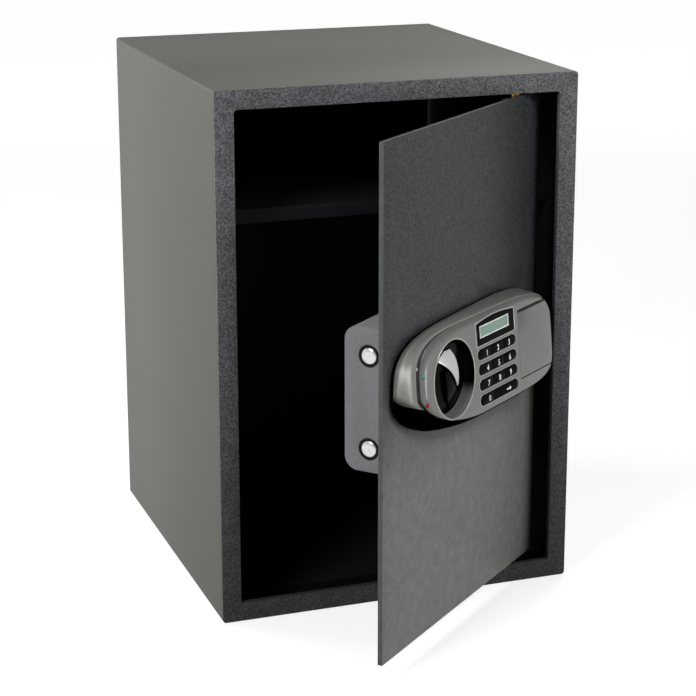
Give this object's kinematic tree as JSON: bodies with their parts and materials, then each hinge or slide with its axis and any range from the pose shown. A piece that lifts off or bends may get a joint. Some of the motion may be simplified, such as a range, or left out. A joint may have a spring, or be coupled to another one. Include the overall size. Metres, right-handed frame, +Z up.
{
  "type": "furniture safe",
  "caption": "Upright furniture safe with a hinged steel door, shelf, round locking bolts and a battery-powered lock with knob, keypad and display; shown with the door ajar.",
  "frame": {"origin": "centre of the cabinet's underside", "axes": "+Z up, -Y out of the cabinet's front, +X towards the hinge side; the back is at +Y"},
  "size_m": [0.35, 0.5449, 0.5],
  "materials": {
    "cabinet_paint": "smooth satin grey powder coat",
    "frame_paint": "speckled dark grey powder coat",
    "door_paint": "speckled dark grey powder coat",
    "inner_paint": "dark powder coat",
    "case_paint": "satin grey powder coat",
    "floor_fabric": "black needle felt",
    "bright_steel": "turned bright steel",
    "zinc_steel": "zinc-plated steel",
    "bush_brass": "plain brass",
    "bush_plastic": "black plastic",
    "coil": "wound and taped coil",
    "cells": "plain printed sleeve",
    "black_plastic": "black plastic",
    "red_plastic": "red plastic",
    "gasket_rubber": "black rubber",
    "housing_silver": "silver-grey lacquered plastic",
    "knob_black": "black plastic",
    "knob_silver": "bright silver lacquer",
    "board": "green laminate",
    "switch_plastic": "light plastic",
    "window_black": "gloss black",
    "display_green": "pale green display",
    "green_lens": "green lens",
    "red_lens": "red lens",
    "key_black": "black keycap"
  },
  "bodies": {
    "cabinet": {"cabinet_shell": "cabinet_paint", "back_panel": "cabinet_paint", "front_frame": "frame_paint", "floor_mat": "floor_fabric", "shelf_supports": "inner_paint", "hinge_lugs": "inner_paint", "hinge_bushes": "bush_brass"},
    "shelf": {"shelf": "inner_paint"},
    "door": {"door_plate": "door_paint", "hinge_blocks": "inner_paint", "hinge_pins": "bright_steel", "lock_case": "case_paint", "case_posts": "zinc_steel", "case_screws": "bright_steel", "bolt_bushes": "bush_plastic", "guide_posts": "zinc_steel", "solenoid": "coil", "solenoid_bracket": "zinc_steel", "battery_holder": "black_plastic", "batteries": "cells", "reset_switch": "black_plastic", "spindle_bush": "bush_brass", "base_gasket": "gasket_rubber", "lock_housing": "housing_silver", "housing_screws": "bright_steel", "circuit_board": "board", "key_switches": "switch_plastic", "control_cable": "black_plastic", "display_window": "window_black", "display": "display_green", "led_green": "green_lens", "led_red": "red_lens", "lock_barrel": "bright_steel", "lock_nut": "zinc_steel"},
    "bolt_works": {"bolt_plate": "zinc_steel", "bolt_upper": "bright_steel", "bolt_lower": "bright_steel"},
    "knob": {"knob": "knob_black", "knob_inlay": "knob_silver", "spindle": "bright_steel", "drive_lever": "zinc_steel", "spindle_nut": "zinc_steel"},
    "plunger": {"solenoid_plunger": "bright_steel"},
    "battery_cover": {"battery_cover": "black_plastic"},
    "reset_button": {"reset_button": "red_plastic"},
    "side_cover": {"side_cover": "housing_silver"},
    "key_lock": {"lock_plug": "bright_steel", "lock_cam": "zinc_steel"},
    "key_1": {"key_1": "key_black"},
    "key_2": {"key_2": "key_black"},
    "key_3": {"key_3": "key_black"},
    "key_4": {"key_4": "key_black"},
    "key_5": {"key_5": "key_black"},
    "key_6": {"key_6": "key_black"},
    "key_7": {"key_7": "key_black"},
    "key_8": {"key_8": "key_black"},
    "key_9": {"key_9": "key_black"},
    "key_0": {"key_0": "key_black"},
    "key_enter": {"key_enter": "key_black"}
  },
  "joints": [
    {"name": "door_swing", "type": "hinge", "parent": "cabinet", "child": "door", "pos_m": [0.115, -0.176, 0.25], "axis": [0, 0, 1], "range_deg": [-41, 59]},
    {"name": "shelf_lift", "type": "slide", "parent": "cabinet", "child": "shelf", "axis": [0, 0, 1], "range_m": [0, 0.015]},
    {"name": "bolt_slide", "type": "slide", "parent": "door", "child": "bolt_works", "axis": [-0.7547, -0.6561, 0], "range_m": [0, 0.0184]},
    {"name": "knob_turn", "type": "hinge", "parent": "door", "child": "knob", "pos_m": [-0.00028, -0.30403, 0.256], "axis": [0.6561, -0.7547, 0], "range_deg": [0, 90]},
    {"name": "plunger_travel", "type": "slide", "parent": "door", "child": "plunger", "axis": [0, 0, -1], "range_m": [0, 0.005], "stiffness_N_per_m": 60, "springref_m": -0.004},
    {"name": "battery_cover_slide", "type": "slide", "parent": "door", "child": "battery_cover", "axis": [-0.7547, -0.6561, 0], "range_m": [0, 0.025]},
    {"name": "reset_press", "type": "slide", "parent": "door", "child": "reset_button", "axis": [0.6561, -0.7547, 0], "range_m": [0, 0.0015], "stiffness_N_per_m": 300, "springref_m": -0.001},
    {"name": "side_cover_pull", "type": "slide", "parent": "door", "child": "side_cover", "axis": [-0.6561, 0.7547, 0], "range_m": [-0.004, 0]},
    {"name": "key_lock_turn", "type": "hinge", "parent": "door", "child": "key_lock", "pos_m": [0.10955, -0.2185, 0.271], "axis": [0.6561, -0.7547, 0], "range_deg": [0, 90]},
    {"name": "key_1_press", "type": "slide", "parent": "door", "child": "key_1", "axis": [-0.6561, 0.7547, 0], "range_m": [0, 0.0013], "stiffness_N_per_m": 400, "springref_m": -0.001},
    {"name": "key_2_press", "type": "slide", "parent": "door", "child": "key_2", "axis": [-0.6561, 0.7547, 0], "range_m": [0, 0.0013], "stiffness_N_per_m": 400, "springref_m": -0.001},
    {"name": "key_3_press", "type": "slide", "parent": "door", "child": "key_3", "axis": [-0.6561, 0.7547, 0], "range_m": [0, 0.0013], "stiffness_N_per_m": 400, "springref_m": -0.001},
    {"name": "key_4_press", "type": "slide", "parent": "door", "child": "key_4", "axis": [-0.6561, 0.7547, 0], "range_m": [0, 0.0013], "stiffness_N_per_m": 400, "springref_m": -0.001},
    {"name": "key_5_press", "type": "slide", "parent": "door", "child": "key_5", "axis": [-0.6561, 0.7547, 0], "range_m": [0, 0.0013], "stiffness_N_per_m": 400, "springref_m": -0.001},
    {"name": "key_6_press", "type": "slide", "parent": "door", "child": "key_6", "axis": [-0.6561, 0.7547, 0], "range_m": [0, 0.0013], "stiffness_N_per_m": 400, "springref_m": -0.001},
    {"name": "key_7_press", "type": "slide", "parent": "door", "child": "key_7", "axis": [-0.6561, 0.7547, 0], "range_m": [0, 0.0013], "stiffness_N_per_m": 400, "springref_m": -0.001},
    {"name": "key_8_press", "type": "slide", "parent": "door", "child": "key_8", "axis": [-0.6561, 0.7547, 0], "range_m": [0, 0.0013], "stiffness_N_per_m": 400, "springref_m": -0.001},
    {"name": "key_9_press", "type": "slide", "parent": "door", "child": "key_9", "axis": [-0.6561, 0.7547, 0], "range_m": [0, 0.0013], "stiffness_N_per_m": 400, "springref_m": -0.001},
    {"name": "key_0_press", "type": "slide", "parent": "door", "child": "key_0", "axis": [-0.6561, 0.7547, 0], "range_m": [0, 0.0013], "stiffness_N_per_m": 400, "springref_m": -0.001},
    {"name": "key_enter_press", "type": "slide", "parent": "door", "child": "key_enter", "axis": [-0.6561, 0.7547, 0], "range_m": [0, 0.0013], "stiffness_N_per_m": 400, "springref_m": -0.001}
  ],
  "couplings": [
    {"joint": "knob_turn", "follows": "bolt_slide", "rad_per_m": 85.3}
  ]
}
